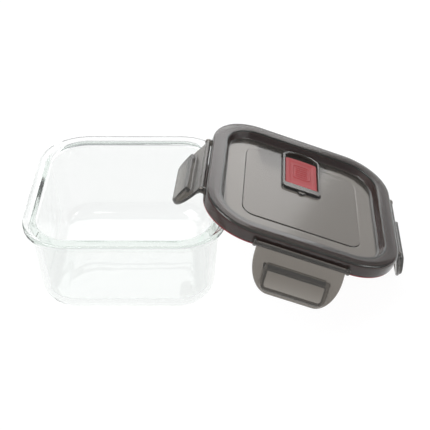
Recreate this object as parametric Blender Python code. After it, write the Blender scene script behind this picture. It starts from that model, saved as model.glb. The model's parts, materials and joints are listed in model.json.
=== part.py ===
"""Square glass food box with a lock-flap lid that leans on the box's rim.

A rounded-square glass box, a smoky moulded lid with a red seal in its underside groove, four lock flaps
that snap under the glass rim, and a red silicone vent flap in the lid. The lid lies off the box: its left
edge rests on the right-hand rim and its right lock flap stands on the table. Metres, +Z up, with the
origin at the centre of the glass base.
"""

from math import asin, atan2, cos, hypot, pi, radians, sin

import bmesh
import bpy
from mathutils import Matrix, Vector

MM = 0.001

# Fits between pieces
FACE_GAP = 0.3 * MM  # between two pieces that touch
PIN_CLEARANCE = 0.3 * MM  # radial, round a moulded pin
PLUG_CLEARANCE = 0.7 * MM  # between the lid's plug wall and the glass opening
END_GAP = 0.4 * MM  # between the end of a hinged piece and its bearing
OVERLAP = 0.4 * MM  # how far joined features run into each other before they become one solid

# Glass box
RIM_HALF = 75 * MM
RIM_CORNER_R = 37.5 * MM
GLASS_HEIGHT = 73.5 * MM
RIM_BAND = 10 * MM  # width of the rim's top face
RIM_OVERHANG = 5.4 * MM  # how far the rim stands out from the wall
RIM_DEPTH = 5.7 * MM  # height of the rim's outer face
RIM_ROUND = 1.8 * MM
WALL_TAPER = 4 * MM
BASE_ROUND = 19 * MM
BASE_THICKNESS = 4.5 * MM
FLOOR_ROUND = 15 * MM

# Lid
LID_MARGIN = 2 * MM  # how far the lid stands out past the glass rim
LID_BAND = 11.8 * MM  # width of the raised band round the lid
LID_ROUND = 2.4 * MM
RECESS_DEPTH = 6.6 * MM
RECESS_DRAFT = 2.6 * MM
PANEL_THICKNESS = 2 * MM
PAD_MARGIN = 15.6 * MM  # recess floor round the raised pad
PAD_RISE = 0.5 * MM
SKIRT_DEPTH = 9.9 * MM
SKIRT_THICKNESS = 1.8 * MM
ROOF_THICKNESS = 2.6 * MM
PLUG_DEPTH = 12.2 * MM
PLUG_THICKNESS = 1.9 * MM

# Seal
SEAL_PROUD = 1.2 * MM  # how far the seal stands below the skirt
SEAL_FLANGE_SETBACK = 0.4 * MM  # from the lid's outer wall to the flange under the skirt
SEAL_SLOT_WIDTH = 1.6 * MM
SEAL_SLOT_DEPTH = 4 * MM
SEAL_SOFTNESS = 0.4 * MM  # slope on the seal's lower edges

# Lock flaps
FLAP_WIDTH = 68 * MM
FLAP_LENGTH = 32.5 * MM  # hinge axis to lower edge
FLAP_FOOT = 34 * MM  # straight part of the lower edge
FLAP_CORNER_RISE = 26 * MM
FLAP_THICKNESS = 2.4 * MM
FLAP_STANDOFF = 2.5 * MM  # hinge axis to the lid's outer wall
HINGE_DROP = 7 * MM  # hinge axis below the top of the lid
BARREL_R = 2 * MM
PIN_R = 1.3 * MM
LUG_THICKNESS = 2.4 * MM
LUG_R = 2.6 * MM
GRIP_TOP = 11.5 * MM  # hinge axis to the grip's upper step
GRIP_WIDTH = 52 * MM
GRIP_HEIGHT = 4.2 * MM
GRIP_HEIGHT_FOOT = 1.8 * MM
GRIP_MARGIN = 0.8 * MM
GRIP_FOOT = 38 * MM
GRIP_CORNER_RISE = 8 * MM
POCKET_DEPTH = 3.6 * MM
POCKET_WALL = 3 * MM
HOOK_WIDTH = 44 * MM
HOOK_REACH = 2.2 * MM  # how far the hook goes under the glass rim
HOOK_THICKNESS = 1.4 * MM
HOOK_HEIGHT = 4.6 * MM

# Vent
VENT_WIDTH = 28 * MM
VENT_NEAR = 10.3 * MM  # front end of the pocket, from the lid's centre
VENT_LENGTH = 40.7 * MM  # straight part of the pocket
VENT_ARCH = 8.2 * MM
VENT_FRAME = 2.5 * MM
VENT_FRAME_NEAR = 7.1 * MM
VENT_FRAME_RISE = 2.8 * MM
VENT_CUT = 0.6 * MM  # pocket floor below the panel
WELL_DEPTH = 1.4 * MM  # finger well below the pocket floor
WELL_LENGTH = 7 * MM  # how far the well runs under the flap
WELL_WALL = 1.8 * MM
VENT_FLAP_THICKNESS = 2 * MM
VENT_FLAP_LENGTH = 38.4 * MM  # hinge axis to far edge
VENT_PIN_R = 0.7 * MM
VENT_PIN_LENGTH = 1.2 * MM
VENT_HOLE_R = 3.2 * MM
VENT_HOLE_AT = 20 * MM  # hinge axis to the steam hole
VENT_NUB_CLEARANCE = 0.6 * MM
VENT_NUB_LENGTH = 1.6 * MM
BUMP_R = 3.4 * MM
BUMP_DROP = 0.9 * MM

# How the lid lies against the box
LID_ROLL = radians(-2.6)
LID_YAW = radians(-4.6)
LID_SHIFT = 7.5 * MM  # lid's middle behind the box's middle
LID_LAP = 16.84 * MM  # lid's left edge in over the rim
CORNER_RELIEF = 1.94 * MM  # what the rim's rounded corner spares of the roll's dip
FOOT_GAP = 1.51 * MM  # right flap's lower edge above the table, at the lid's middle
FLAP_REST = {"front": radians(41), "back": radians(8), "left": radians(26), "right": radians(26)}
SIDE_ANGLE = {"right": 0.0, "back": pi / 2, "left": pi, "front": -pi / 2}

# Facets
CORNER_STEPS = 10
ROUND_STEPS = 4
PIN_SIDES = 20

# Sizes that follow from the ones above
CORNER_CENTRE = RIM_HALF - RIM_CORNER_R
LID_HALF = RIM_HALF + LID_MARGIN
OPENING_HALF = RIM_HALF - RIM_BAND
PLUG_HALF = OPENING_HALF - PLUG_CLEARANCE
RECESS_HALF = LID_HALF - LID_BAND
FLOOR_HALF = RECESS_HALF - RECESS_DRAFT
PAD_HALF = FLOOR_HALF - PAD_MARGIN
GROOVE_HALF = LID_HALF - SKIRT_THICKNESS
SEAL_BOTTOM = SKIRT_DEPTH + SEAL_PROUD
HINGE_OUT = LID_HALF + FLAP_STANDOFF
HOOK_DROP = SEAL_BOTTOM + FACE_GAP + RIM_DEPTH + FACE_GAP - HINGE_DROP
HOOK_TIP = RIM_HALF - HOOK_REACH - HINGE_OUT
VENT_HALF = VENT_WIDTH / 2
POCKET_FLOOR = -RECESS_DEPTH - VENT_CUT
VENT_AXIS_Y = VENT_NEAR + FACE_GAP + VENT_FLAP_THICKNESS / 2
VENT_AXIS_Z = POCKET_FLOOR + FACE_GAP + VENT_FLAP_THICKNESS / 2

# The lid leans from the glass rim down to the right flap's lower edge
REST_REACH = LID_HALF - LID_LAP
REST_DROP = SEAL_BOTTOM + RIM_HALF * sin(-LID_ROLL) - CORNER_RELIEF
FOOT_REACH = HINGE_OUT + FLAP_LENGTH * sin(FLAP_REST["right"])
FOOT_DROP = HINGE_DROP + FLAP_LENGTH * cos(FLAP_REST["right"])
LEAN_RUN = REST_REACH + FOOT_REACH
LEAN_DROP = FOOT_DROP - REST_DROP
LID_TILT = asin((GLASS_HEIGHT - FOOT_GAP) / hypot(LEAN_RUN, LEAN_DROP)) - atan2(LEAN_DROP, LEAN_RUN)
LID_CENTRE = Vector(
    (
        RIM_HALF + REST_REACH * cos(LID_TILT) + REST_DROP * sin(LID_TILT),
        LID_SHIFT,
        GLASS_HEIGHT - REST_REACH * sin(LID_TILT) + REST_DROP * cos(LID_TILT),
    )
)


def arc(centre, radii, start, end, steps):
    """Points on an elliptic arc from angle start to angle end, both included."""
    turns = [start + (end - start) * i / steps for i in range(steps + 1)]
    return [(centre[0] + radii[0] * cos(t), centre[1] + radii[1] * sin(t)) for t in turns]


def rounded_square(half, z):
    """A level ring of points. All rings share their corner centres, so their sides stay parallel."""
    radius = half - CORNER_CENTRE
    ring = []
    for quarter in range(4):
        turn = Matrix.Rotation(quarter * pi / 2, 3, "Z")
        for x, y in arc((CORNER_CENTRE,) * 2, (radius,) * 2, 0, pi / 2, CORNER_STEPS):
            ring.append(turn @ Vector((x, y, z)))
    return ring


def finish_mesh(name, bm):
    """Turns a closed bmesh into a smooth-shaded object."""
    bmesh.ops.recalc_face_normals(bm, faces=bm.faces)
    mesh = bpy.data.meshes.new(name)
    bm.to_mesh(mesh)
    bm.free()
    mesh.shade_smooth()
    mesh.set_sharp_from_angle(angle=radians(35))
    obj = bpy.data.objects.new(name, mesh)
    bpy.context.collection.objects.link(obj)
    return obj


def sweep(name, profile, closed=False):
    """Carries a profile of (half width, height) pairs round the rounded square.

    An open profile is capped by its first and last rings. A closed one makes a hoop.
    """
    bm = bmesh.new()
    rings = [[bm.verts.new(p) for p in rounded_square(half, z)] for half, z in profile]
    pairs = list(zip(rings, rings[1:]))
    if closed:
        pairs.append((rings[-1], rings[0]))
    for lower, upper in pairs:
        for i in range(len(lower)):
            j = (i + 1) % len(lower)
            bm.faces.new((lower[i], lower[j], upper[j], upper[i]))
    if not closed:
        bm.faces.new(rings[0])
        bm.faces.new(rings[-1])
    return finish_mesh(name, bm)


def prism(name, outline, to_point, near, far):
    """Extrudes an outline of pairs between two depths. to_point maps (a, b, depth) to a place."""
    bm = bmesh.new()
    ends = [[bm.verts.new(to_point(a, b, depth)) for a, b in outline] for depth in (near, far)]
    bm.faces.new(ends[0])
    bm.faces.new(ends[1])
    for i in range(len(outline)):
        j = (i + 1) % len(outline)
        bm.faces.new((ends[0][i], ends[0][j], ends[1][j], ends[1][i]))
    return finish_mesh(name, bm)


def along_x(a, b, depth):
    """Outline in (y, z), extruded along x."""
    return Vector((depth, a, b))


def along_y(a, b, depth):
    """Outline in (x, z), extruded along y."""
    return Vector((a, depth, b))


def along_z(a, b, depth):
    """Outline in (x, y), extruded along z."""
    return Vector((a, b, depth))


def circle(centre, radius, sides=PIN_SIDES):
    """A full circle of points, without the repeated last one."""
    return arc(centre, (radius, radius), 0, 2 * pi, sides)[:-1]


def boolean(target, tool, operation):
    """Joins tool to target or cuts it away, and removes the tool."""
    modifier = target.modifiers.new("cut", "BOOLEAN")
    modifier.operation = operation
    modifier.solver = "EXACT"
    modifier.object = tool
    graph = bpy.context.evaluated_depsgraph_get()
    old = target.data
    target.data = bpy.data.meshes.new_from_object(target.evaluated_get(graph))
    target.data.name = target.name
    target.modifiers.clear()
    bpy.data.meshes.remove(old)
    tool_mesh = tool.data
    bpy.data.objects.remove(tool)
    bpy.data.meshes.remove(tool_mesh)


def join(target, tool):
    """Makes tool part of target."""
    boolean(target, tool, "UNION")


def cut(target, tool):
    """Cuts tool out of target."""
    boolean(target, tool, "DIFFERENCE")


def turn_about_z(obj, angle):
    """Turns an object's mesh about the z axis through its origin."""
    obj.data.transform(Matrix.Rotation(angle, 4, "Z"))


def material(name, colour, roughness, alpha=1.0, transmission=0.0):
    """A Principled material of one plain colour."""
    mat = bpy.data.materials.new(name)
    mat.use_nodes = True
    shader = mat.node_tree.nodes["Principled BSDF"]
    shader.inputs["Base Color"].default_value = (*colour, 1.0)
    shader.inputs["Roughness"].default_value = roughness
    shader.inputs["Metallic"].default_value = 0.0
    shader.inputs["Alpha"].default_value = alpha
    shader.inputs["Transmission Weight"].default_value = transmission
    mat.diffuse_color = (*colour, alpha)
    return mat


def dress(obj, mat):
    """Gives an object its one material."""
    obj.data.materials.clear()
    obj.data.materials.append(mat)


def empty(name, location, rotation, parent=None):
    """A frame that pieces are parented to."""
    obj = bpy.data.objects.new(name, None)
    bpy.context.collection.objects.link(obj)
    obj.location = location
    obj.rotation_euler = rotation
    obj.parent = parent
    return obj


def glass_profile():
    """Outside of the base, up the wall, over the rim and down the inside to the floor."""
    wall_half = RIM_HALF - RIM_OVERHANG
    base_half = wall_half - WALL_TAPER
    rim_foot = GLASS_HEIGHT - RIM_DEPTH
    inner_base = OPENING_HALF - WALL_TAPER
    outer_centre = (base_half - BASE_ROUND, BASE_ROUND)
    inner_centre = (inner_base - FLOOR_ROUND, BASE_THICKNESS + FLOOR_ROUND)
    rim_centre = RIM_HALF - RIM_ROUND
    profile = arc(outer_centre, (BASE_ROUND,) * 2, -pi / 2, 0, 2 * ROUND_STEPS)
    profile += arc((wall_half + RIM_ROUND, rim_foot - RIM_ROUND), (RIM_ROUND,) * 2, pi, pi / 2, ROUND_STEPS)
    profile += arc((rim_centre, rim_foot + RIM_ROUND), (RIM_ROUND,) * 2, -pi / 2, 0, ROUND_STEPS)
    profile += arc((rim_centre, GLASS_HEIGHT - RIM_ROUND), (RIM_ROUND,) * 2, 0, pi / 2, ROUND_STEPS)
    inner_rim = (OPENING_HALF + RIM_ROUND, GLASS_HEIGHT - RIM_ROUND)
    profile += arc(inner_rim, (RIM_ROUND,) * 2, pi / 2, pi, ROUND_STEPS)
    profile += arc(inner_centre, (FLOOR_ROUND,) * 2, 0, -pi / 2, 2 * ROUND_STEPS)
    return profile


def make_glass_box():
    """The glass box, open at the top."""
    return sweep("glass_box", glass_profile())


def lid_profile():
    """From the pad over the raised band, down the skirt, round the seal groove and under the panel."""
    crown = (LID_HALF - LID_ROUND, -LID_ROUND)
    profile = [
        (PAD_HALF, PAD_RISE - RECESS_DEPTH),
        (PAD_HALF + PAD_RISE, -RECESS_DEPTH),
        (FLOOR_HALF, -RECESS_DEPTH),
        (RECESS_HALF - PAD_RISE / 2, -PAD_RISE),
        (RECESS_HALF + PAD_RISE / 2, 0),
    ]
    profile += arc(crown, (LID_ROUND,) * 2, pi / 2, 0, ROUND_STEPS)
    profile += [
        (LID_HALF, -SKIRT_DEPTH),
        (GROOVE_HALF, -SKIRT_DEPTH),
        (GROOVE_HALF, -ROOF_THICKNESS),
        (RECESS_HALF + PLUG_THICKNESS, -ROOF_THICKNESS),
        (PLUG_HALF, -RECESS_DEPTH - PANEL_THICKNESS),
        (PLUG_HALF, -PLUG_DEPTH),
        (PLUG_HALF - PLUG_THICKNESS, -PLUG_DEPTH),
        (PLUG_HALF - PLUG_THICKNESS, -RECESS_DEPTH - PANEL_THICKNESS),
    ]
    return profile


def lug_outline():
    """Section of a hinge lug across the lid's edge: a round nose with a root in the lid's wall."""
    root = LID_HALF - OVERLAP
    nose = arc((HINGE_OUT, -HINGE_DROP), (LUG_R,) * 2, -pi / 2, pi / 2, 2 * ROUND_STEPS)
    return [(root, -HINGE_DROP - LUG_R), *nose, (root, -HINGE_DROP + LUG_R)]


def add_lugs(lid):
    """Two lugs for each flap, with holes for the flap's moulded pins."""
    start = FLAP_WIDTH / 2 + END_GAP
    for angle in SIDE_ANGLE.values():
        for side in (-1, 1):
            lug = prism("lug", lug_outline(), along_x, side * start, side * (start + LUG_THICKNESS))
            turn_about_z(lug, angle - pi / 2)
            join(lid, lug)
        hole = circle((HINGE_OUT, -HINGE_DROP), PIN_R + PIN_CLEARANCE)
        bore = prism("bore", hole, along_x, -start - 2 * LUG_THICKNESS, start + 2 * LUG_THICKNESS)
        turn_about_z(bore, angle - pi / 2)
        cut(lid, bore)


def vent_outline(grow=0.0, near=0.0):
    """The vent pocket's outline: straight sides and an arched far end, grown by a wall if asked."""
    half = VENT_HALF + grow
    front = VENT_NEAR - near
    arch = arc((0, VENT_NEAR + VENT_LENGTH), (half, VENT_ARCH + grow), 0, pi, 4 * ROUND_STEPS)
    return [(-half, front), (half, front), *arch]


def add_vent(lid):
    """The raised frame, its pocket, the finger well, the steam hole and the flap's bearings."""
    panel = -RECESS_DEPTH - PANEL_THICKNESS
    well_floor = POCKET_FLOOR - WELL_DEPTH
    well_start = VENT_AXIS_Y + VENT_FLAP_LENGTH - WELL_LENGTH
    arch_end = [p for p in vent_outline() if p[1] >= VENT_NEAR + VENT_LENGTH]
    well = [(-VENT_HALF, well_start), (VENT_HALF, well_start), *arch_end]
    cup_arch = [p for p in vent_outline(VENT_FRAME) if p[1] >= VENT_NEAR + VENT_LENGTH]
    cup_half = VENT_HALF + VENT_FRAME
    cup = [(-cup_half, well_start - WELL_WALL), (cup_half, well_start - WELL_WALL), *cup_arch]
    top = VENT_FRAME_RISE - RECESS_DEPTH
    frame = prism("frame", vent_outline(VENT_FRAME, VENT_FRAME_NEAR), along_z, panel + OVERLAP, top)
    join(lid, frame)
    bump = circle((0, VENT_NEAR - VENT_FRAME_NEAR), BUMP_R)
    join(lid, prism("bump", bump, along_z, panel + OVERLAP, top - BUMP_DROP))
    join(lid, prism("cup", cup, along_z, well_floor - WELL_WALL, panel + OVERLAP))
    cut(lid, prism("pocket", vent_outline(), along_z, POCKET_FLOOR, OVERLAP))
    cut(lid, prism("well", well, along_z, well_floor, POCKET_FLOOR + OVERLAP))
    hole = circle((0, VENT_AXIS_Y + VENT_HOLE_AT), VENT_HOLE_R)
    cut(lid, prism("hole", hole, along_z, panel - OVERLAP, POCKET_FLOOR + OVERLAP))
    socket = circle((VENT_AXIS_Y, VENT_AXIS_Z), VENT_PIN_R + PIN_CLEARANCE, PIN_SIDES // 2)
    reach = VENT_HALF + VENT_PIN_LENGTH
    cut(lid, prism("sockets", socket, along_x, -reach, reach))


def make_lid_shell():
    """The moulded lid: panel, raised band, skirt, seal groove, hinge lugs and vent pocket."""
    lid = sweep("lid_shell", lid_profile())
    add_vent(lid)
    add_lugs(lid)
    lid.data.shade_smooth()
    lid.data.set_sharp_from_angle(angle=radians(35))
    return lid


def seal_profile():
    """Section of the seal: it fills the groove, a flange covers the skirt's lower edge, and a slot from
    below leaves two soft lips for the glass rim."""
    outer = GROOVE_HALF - FACE_GAP
    flange = LID_HALF - SEAL_FLANGE_SETBACK
    top = -ROOF_THICKNESS - FACE_GAP
    inner_top = RECESS_HALF + PLUG_THICKNESS + 2 * FACE_GAP
    inner = PLUG_HALF + 2 * FACE_GAP
    knee = -RECESS_DEPTH - PANEL_THICKNESS
    soft = SEAL_SOFTNESS
    slot_outer = (outer + inner + SEAL_SLOT_WIDTH) / 2
    slot_inner = slot_outer - SEAL_SLOT_WIDTH
    slot_top = -SEAL_BOTTOM + SEAL_SLOT_DEPTH
    return [
        (outer, top),
        (outer, -SKIRT_DEPTH - FACE_GAP),
        (flange, -SKIRT_DEPTH - FACE_GAP),
        (flange, -SEAL_BOTTOM + soft),
        (flange - soft, -SEAL_BOTTOM),
        (slot_outer, -SEAL_BOTTOM),
        (slot_outer, slot_top),
        (slot_inner, slot_top),
        (slot_inner, -SEAL_BOTTOM),
        (inner + soft, -SEAL_BOTTOM),
        (inner, -SEAL_BOTTOM + soft),
        (inner, knee),
        (inner_top, top),
    ]


def make_seal_ring():
    """The silicone seal in the lid's groove."""
    return sweep("seal_ring", seal_profile(), closed=True)


def tapered_outline(half, foot_half, top, foot, corner_rise):
    """A plate's outline in (x, z): straight sides, then elliptic corners down to a straight foot."""
    corner = (half - foot_half, corner_rise)
    right = arc((foot_half, foot + corner_rise), corner, 0, -pi / 2, 2 * ROUND_STEPS)
    right = [(half, top), *right]
    return right + [(-x, z) for x, z in reversed(right)]


def grip_block():
    """The raised grip on the flap's outer face. It gets thinner towards the foot."""
    foot = -FLAP_LENGTH + GRIP_MARGIN
    outline = tapered_outline(GRIP_WIDTH / 2, GRIP_FOOT / 2, -GRIP_TOP, foot, GRIP_CORNER_RISE)
    outer = FLAP_THICKNESS / 2

    def to_point(a, b, depth):
        share = (b + GRIP_TOP) / (foot + GRIP_TOP)
        height = GRIP_HEIGHT + (GRIP_HEIGHT_FOOT - GRIP_HEIGHT) * share * share
        return Vector((a, outer - OVERLAP + depth * (height + OVERLAP), b))

    return prism("grip", outline, to_point, 0, 1)


def finger_pocket():
    """Cutter for the hollow behind the grip."""
    hook_foot = HOOK_DROP + HOOK_HEIGHT
    outline = tapered_outline(
        GRIP_WIDTH / 2 - POCKET_WALL,
        GRIP_FOOT / 2 - POCKET_WALL,
        -hook_foot - FACE_GAP,
        -FLAP_LENGTH + POCKET_WALL,
        GRIP_CORNER_RISE / 2,
    )
    inner = -FLAP_THICKNESS / 2
    return prism("pocket", outline, along_y, inner - OVERLAP, inner + POCKET_DEPTH)


def hook():
    """The ledge that snaps under the glass rim, with a sloped underside."""
    root = -FLAP_THICKNESS / 2 + OVERLAP
    outline = [
        (root, -HOOK_DROP),
        (HOOK_TIP, -HOOK_DROP),
        (HOOK_TIP, -HOOK_DROP - HOOK_THICKNESS),
        (root, -HOOK_DROP - HOOK_HEIGHT),
    ]
    return prism("hook", outline, along_x, -HOOK_WIDTH / 2, HOOK_WIDTH / 2)


def make_lock_flap(side):
    """One lock flap, built closed: hinge axis on x, plate hanging along -z, outside towards +y."""
    half = FLAP_WIDTH / 2
    outline = tapered_outline(half, FLAP_FOOT / 2, 0, -FLAP_LENGTH, FLAP_CORNER_RISE)
    flap = prism(f"lock_flap_{side}", outline, along_y, -FLAP_THICKNESS / 2, FLAP_THICKNESS / 2)
    join(flap, prism("barrel", circle((0, 0), BARREL_R), along_x, -half, half))
    pin_end = half + END_GAP + LUG_THICKNESS
    join(flap, prism("pins", circle((0, 0), PIN_R), along_x, -pin_end, pin_end))
    join(flap, grip_block())
    join(flap, hook())
    cut(flap, finger_pocket())
    flap.data.shade_smooth()
    flap.data.set_sharp_from_angle(angle=radians(35))
    return flap


def make_vent_flap():
    """The silicone vent flap, built shut: hinge axis on x, far edge towards +y, nub in the hole."""
    radius = VENT_FLAP_THICKNESS / 2
    nose = arc((0, 0), (radius, radius), pi / 2, 3 * pi / 2, 2 * ROUND_STEPS)
    section = [*nose, (VENT_FLAP_LENGTH, -radius), (VENT_FLAP_LENGTH, radius)]
    half = VENT_HALF - END_GAP
    flap = prism("vent_flap", section, along_x, -half, half)
    pin_end = VENT_HALF + VENT_PIN_LENGTH - END_GAP
    join(flap, prism("pins", circle((0, 0), VENT_PIN_R, PIN_SIDES // 2), along_x, -pin_end, pin_end))
    nub = circle((0, VENT_HOLE_AT), VENT_HOLE_R - VENT_NUB_CLEARANCE)
    join(flap, prism("nub", nub, along_z, -radius - VENT_NUB_LENGTH, -radius + OVERLAP))
    flap.data.shade_smooth()
    flap.data.set_sharp_from_angle(angle=radians(35))
    return flap


def place_flap(flap, side, lid_frame):
    """Hangs a lock flap on its hinge at the lid's edge, swung out to where it rests."""
    angle = SIDE_ANGLE[side]
    spot = (HINGE_OUT * cos(angle), HINGE_OUT * sin(angle), -HINGE_DROP)
    hinge = empty(f"hinge_{side}", spot, (0, 0, angle - pi / 2), lid_frame)
    flap.parent = hinge
    flap.rotation_euler = (FLAP_REST[side], 0, 0)


def clear_scene():
    """Removes every object that the scene starts with."""
    for obj in list(bpy.data.objects):
        bpy.data.objects.remove(obj)


def main():
    """Builds the box, the lid and what is on the lid."""
    clear_scene()
    glass = material("clear_glass", (0.93, 0.96, 0.95), 0.02, 0.35, 0.9)
    smoke = material("smoke_plastic", (0.17, 0.15, 0.14), 0.25, 0.85)
    seal_red = material("seal_red", (0.45, 0.02, 0.03), 0.55)
    vent_red = material("vent_red", (0.62, 0.04, 0.05), 0.5)

    dress(make_glass_box(), glass)

    lid_frame = empty("lid_frame", LID_CENTRE, (LID_ROLL, LID_TILT, LID_YAW))
    for piece, mat in ((make_lid_shell(), smoke), (make_seal_ring(), seal_red)):
        dress(piece, mat)
        piece.parent = lid_frame
    for side in SIDE_ANGLE:
        flap = make_lock_flap(side)
        dress(flap, smoke)
        place_flap(flap, side, lid_frame)
    vent_hinge = empty("vent_hinge", (0, VENT_AXIS_Y, VENT_AXIS_Z), (0, 0, 0), lid_frame)
    vent_flap = make_vent_flap()
    dress(vent_flap, vent_red)
    vent_flap.parent = vent_hinge
    bpy.context.view_layer.update()


main()
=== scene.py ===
"""Looks for a square glass food box with a smoky lock-flap lid leaning on its rim.

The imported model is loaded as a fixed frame. Each piece of it is then stood for by a fine surface worked
out with numpy: the pressed glass box, the moulded lid, the seal in its groove, the four lock flaps and the
vent flap. Lid pieces are shaped in the lid's own frame (x right, y back, z out of its top, zero at the
middle of the top) and carried to where the lid lies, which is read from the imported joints. Sizes are in
metres.
"""

import json
import logging
from dataclasses import dataclass, field
from enum import Enum
from typing import Iterable, Sequence

import bmesh
import bpy
import numpy as np
from mathutils import Matrix, Vector


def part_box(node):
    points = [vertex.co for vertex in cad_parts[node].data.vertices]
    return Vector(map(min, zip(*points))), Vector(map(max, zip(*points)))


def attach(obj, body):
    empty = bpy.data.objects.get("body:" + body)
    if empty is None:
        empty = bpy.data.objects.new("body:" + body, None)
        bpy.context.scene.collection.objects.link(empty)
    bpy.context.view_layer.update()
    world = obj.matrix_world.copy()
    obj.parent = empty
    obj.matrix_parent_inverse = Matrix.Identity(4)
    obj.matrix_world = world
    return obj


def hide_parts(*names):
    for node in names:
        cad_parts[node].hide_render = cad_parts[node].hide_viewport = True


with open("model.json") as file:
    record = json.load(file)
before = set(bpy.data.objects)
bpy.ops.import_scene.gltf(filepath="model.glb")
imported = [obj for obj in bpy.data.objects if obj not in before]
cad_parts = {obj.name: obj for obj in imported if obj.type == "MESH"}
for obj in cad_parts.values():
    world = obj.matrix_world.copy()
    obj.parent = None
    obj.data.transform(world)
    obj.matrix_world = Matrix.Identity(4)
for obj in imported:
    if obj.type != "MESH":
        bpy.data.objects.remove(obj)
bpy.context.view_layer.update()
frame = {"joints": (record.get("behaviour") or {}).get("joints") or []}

LOG = logging.getLogger("food_box")
MM = 0.001


# ---------------------------------------------------------------------------------------------------------
# Curves and grids
# ---------------------------------------------------------------------------------------------------------


def filleted(points: Sequence[Sequence[float]], steps: int = 6) -> np.ndarray:
    """Rounds the corners of an open polyline.

    A corner with turning angle a and radius r is replaced by an arc that starts and ends
    r * tan(a / 2) away from it, on the two straight runs.

    Args:
        points: (x, y, radius) for each corner. The first and last keep their place.
        steps: arc segments at each rounded corner.

    Returns:
        An (n, 2) array of points along the rounded line.
    """
    line = np.array([p[:2] for p in points], float)
    out = [line[:1]]
    for i in range(1, len(line) - 1):
        radius = points[i][2]
        before, after = line[i - 1] - line[i], line[i + 1] - line[i]
        before, after = before / np.linalg.norm(before), after / np.linalg.norm(after)
        turn = np.pi - np.arccos(np.clip(before @ after, -1, 1))
        if radius <= 0 or turn < 1e-3:
            out.append(line[i : i + 1])
            continue
        reach = radius * np.tan(turn / 2)
        start = line[i] + before * reach
        inward = (before + after) / np.linalg.norm(before + after)
        centre = line[i] + inward * radius / np.cos(turn / 2)
        spoke = start - centre
        side = np.sign(before[0] * after[1] - before[1] * after[0])
        angles = -side * np.linspace(0, turn, steps + 1)
        cos, sin = np.cos(angles), np.sin(angles)
        out.append(centre + np.stack([cos * spoke[0] - sin * spoke[1], sin * spoke[0] + cos * spoke[1]], 1))
    out.append(line[-1:])
    return np.concatenate(out)


def smooth_step(value: np.ndarray, low: float, high: float) -> np.ndarray:
    """Rises from 0 at low to 1 at high as 3t^2 - 2t^3. Low may be above high, and then it falls."""
    t = np.clip((value - low) / (high - low), 0, 1)
    return t * t * (3 - 2 * t)


def round_trip(angles: np.ndarray) -> np.ndarray:
    """Points of a unit circle, (cos a, sin a), at the angles given."""
    return np.stack([np.cos(angles), np.sin(angles)], 1)


def full_circle(count: int) -> np.ndarray:
    """A unit circle of equally spaced points, without its first point repeated."""
    return round_trip(np.linspace(0, 2 * np.pi, count, endpoint=False))


def at_height(flat: np.ndarray, z: float) -> np.ndarray:
    """Lifts an (n, 2) outline to a height."""
    return np.concatenate([flat, np.full((len(flat), 1), z)], 1)


def at_x(section: np.ndarray, x: float) -> np.ndarray:
    """Stands an (n, 2) section of (y, z) across a place on x."""
    return np.concatenate([np.full((len(section), 1), x), section], 1)


@dataclass(frozen=True)
class RoundedSquare:
    """The level outline that the box and lid share.

    Every outline has the same corner centres, so a point is its base point plus its outward normal times
    how far the outline's half width passes the corner centre.
    """

    corner_centre: float
    corner_steps: int = 22
    side_steps: int = 8

    def base_and_normal(self) -> tuple[np.ndarray, np.ndarray]:
        """Base points and outward normals, anticlockwise from the middle of the right-hand side.

        Returns:
            Two (n, 2) arrays.
        """
        c = self.corner_centre
        run = np.linspace(-c, c, self.side_steps, endpoint=False)[1:]
        turn = np.linspace(0, np.pi / 2, self.corner_steps + 1)
        side = np.stack([np.full_like(run, c), run], 1)
        corner = np.full((len(turn), 2), c)
        base = np.concatenate([side, corner])
        outwards = np.tile([1.0, 0.0], (len(run), 1))
        normal = np.concatenate([outwards, np.stack([np.cos(turn), np.sin(turn)], 1)])
        angles = np.arange(4) * np.pi / 2
        quarters = [np.array([[np.cos(q), np.sin(q)], [-np.sin(q), np.cos(q)]]) for q in angles]
        return np.concatenate([base @ q for q in quarters]), np.concatenate([normal @ q for q in quarters])

    def sweep(self, profile: np.ndarray) -> np.ndarray:
        """Carries a profile of (half width, height) round the outline.

        Args:
            profile: (m, 2) array.

        Returns:
            An (m, n, 3) grid of points.
        """
        base, normal = self.base_and_normal()
        reach = (profile[:, 0] - self.corner_centre)[:, None, None]
        level = base[None] + reach * normal[None]
        height = np.broadcast_to(profile[:, 1][:, None, None], level.shape[:2] + (1,))
        return np.concatenate([level, height], 2)


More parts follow.
